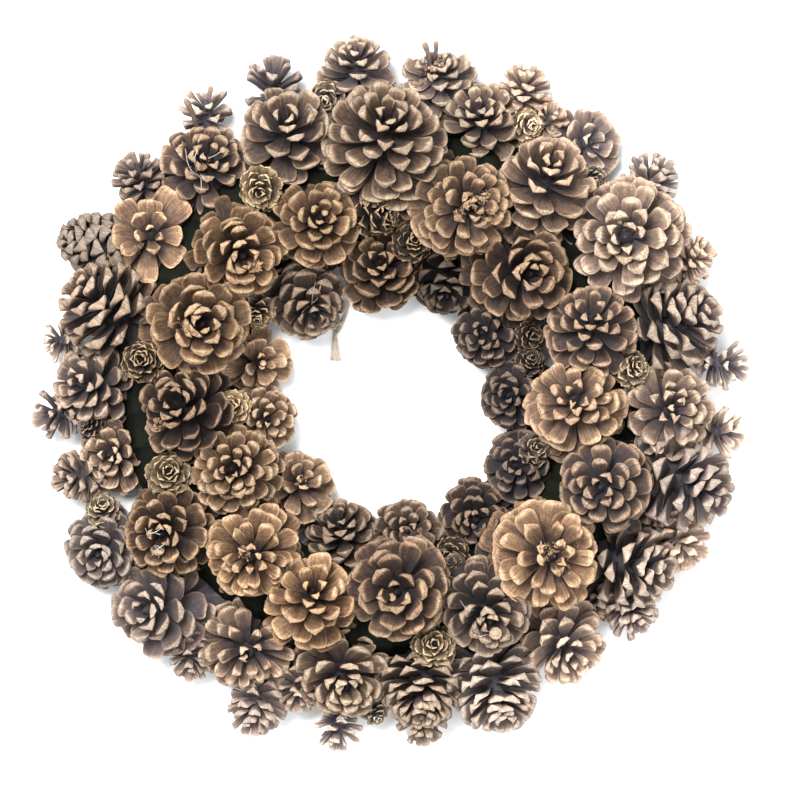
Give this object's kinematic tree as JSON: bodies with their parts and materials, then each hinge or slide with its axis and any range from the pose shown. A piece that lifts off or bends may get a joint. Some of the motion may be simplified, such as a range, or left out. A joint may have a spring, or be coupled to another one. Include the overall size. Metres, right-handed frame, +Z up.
{
  "type": "pinecone wreath",
  "caption": "Round wreath of open pine cones with small larch cones in the gaps between them, fixed all round a wrapped ring with a flat back, with a loop of jute twine in its hole.",
  "frame": {"origin": "on the surface that the wreath lies on, below the middle of its outline", "axes": "+Z up, from the ring's flat back to the cones' tips; +Y towards the picture's top, where the wreath would hang from; +X to the picture's right"},
  "size_m": [0.3584, 0.3672, 0.0804],
  "materials": {
    "cone_scale": "dry matte cone scales, dark at the root and pale at the rim",
    "ring_wrap": "dark matte wrapping",
    "jute_twine": "rough hairy twine"
  },
  "bodies": {
    "root": {"base_ring": "ring_wrap", "pine_cones_01": "cone_scale", "pine_cones_02": "cone_scale", "pine_cones_03": "cone_scale", "pine_cones_04": "cone_scale", "pine_cones_05": "cone_scale", "pine_cones_06": "cone_scale", "pine_cones_07": "cone_scale", "pine_cones_08": "cone_scale", "pine_cones_09": "cone_scale", "pine_cones_10": "cone_scale", "pine_cones_11": "cone_scale", "pine_cones_12": "cone_scale", "pine_cones_13": "cone_scale", "pine_cones_14": "cone_scale", "pine_cones_15": "cone_scale", "pine_cones_16": "cone_scale", "pine_cones_17": "cone_scale", "pine_cones_18": "cone_scale", "pine_cones_19": "cone_scale", "pine_cones_20": "cone_scale", "pine_cones_21": "cone_scale", "pine_cones_22": "cone_scale", "pine_cones_23": "cone_scale", "pine_cones_24": "cone_scale", "pine_cones_25": "cone_scale", "pine_cones_26": "cone_scale", "pine_cones_27": "cone_scale", "pine_cones_28": "cone_scale", "pine_cones_29": "cone_scale", "pine_cones_30": "cone_scale", "pine_cones_31": "cone_scale", "pine_cones_32": "cone_scale", "pine_cones_33": "cone_scale", "pine_cones_34": "cone_scale", "pine_cones_35": "cone_scale", "pine_cones_36": "cone_scale", "pine_cones_37": "cone_scale", "pine_cones_38": "cone_scale", "pine_cones_39": "cone_scale", "pine_cones_40": "cone_scale", "pine_cones_41": "cone_scale", "pine_cones_42": "cone_scale", "pine_cones_43": "cone_scale", "pine_cones_44": "cone_scale", "pine_cones_45": "cone_scale", "pine_cones_46": "cone_scale", "pine_cones_47": "cone_scale", "pine_cones_48": "cone_scale", "pine_cones_49": "cone_scale", "pine_cones_50": "cone_scale", "pine_cones_51": "cone_scale", "pine_cones_52": "cone_scale", "twine_long_strand": "jute_twine", "twine_short_strand": "jute_twine", "twine_tail": "jute_twine", "twine_knot": "jute_twine"}
  },
  "joints": []
}
